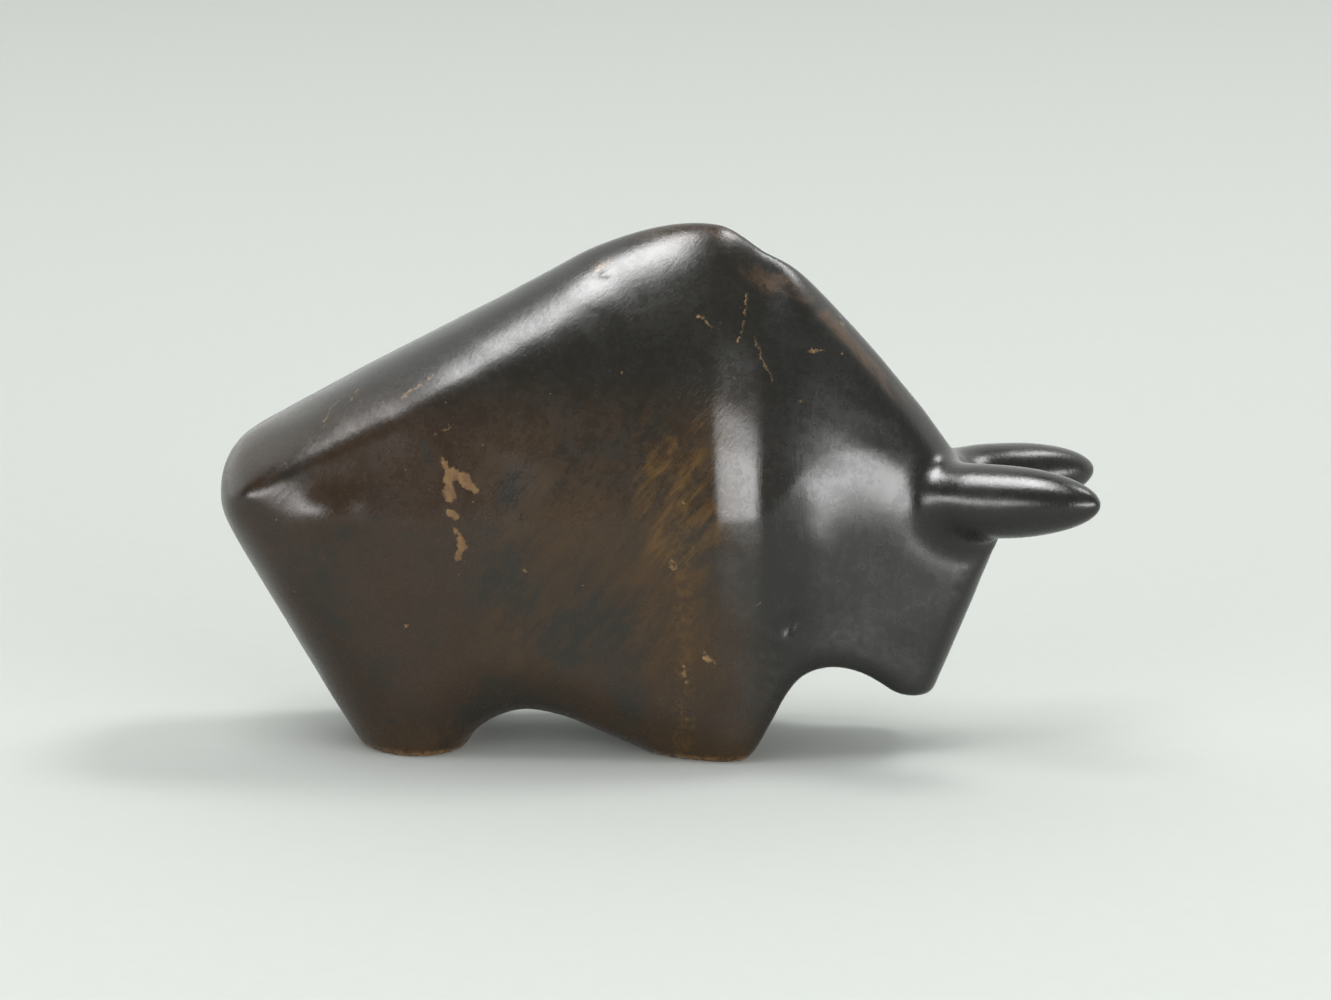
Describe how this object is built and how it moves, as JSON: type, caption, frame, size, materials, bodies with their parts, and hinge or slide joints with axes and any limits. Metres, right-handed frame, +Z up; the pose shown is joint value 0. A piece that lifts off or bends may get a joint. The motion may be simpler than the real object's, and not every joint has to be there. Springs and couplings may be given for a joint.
{
  "type": "bull sculpture",
  "caption": "Small dark bronze desk sculpture of a stylised humped bull with a lowered wedge head, short thick horns and merged leg blocks.",
  "frame": {"origin": "centre of the bounding box on the ground, under the soles", "axes": "+X towards the horns, +Y towards the bull's left side, +Z up"},
  "size_m": [0.1294, 0.0368, 0.0774],
  "materials": {
    "dark_bronze": "satin dark brown patina on cast bronze"
  },
  "bodies": {
    "root": {"bull": "dark_bronze"}
  },
  "joints": []
}
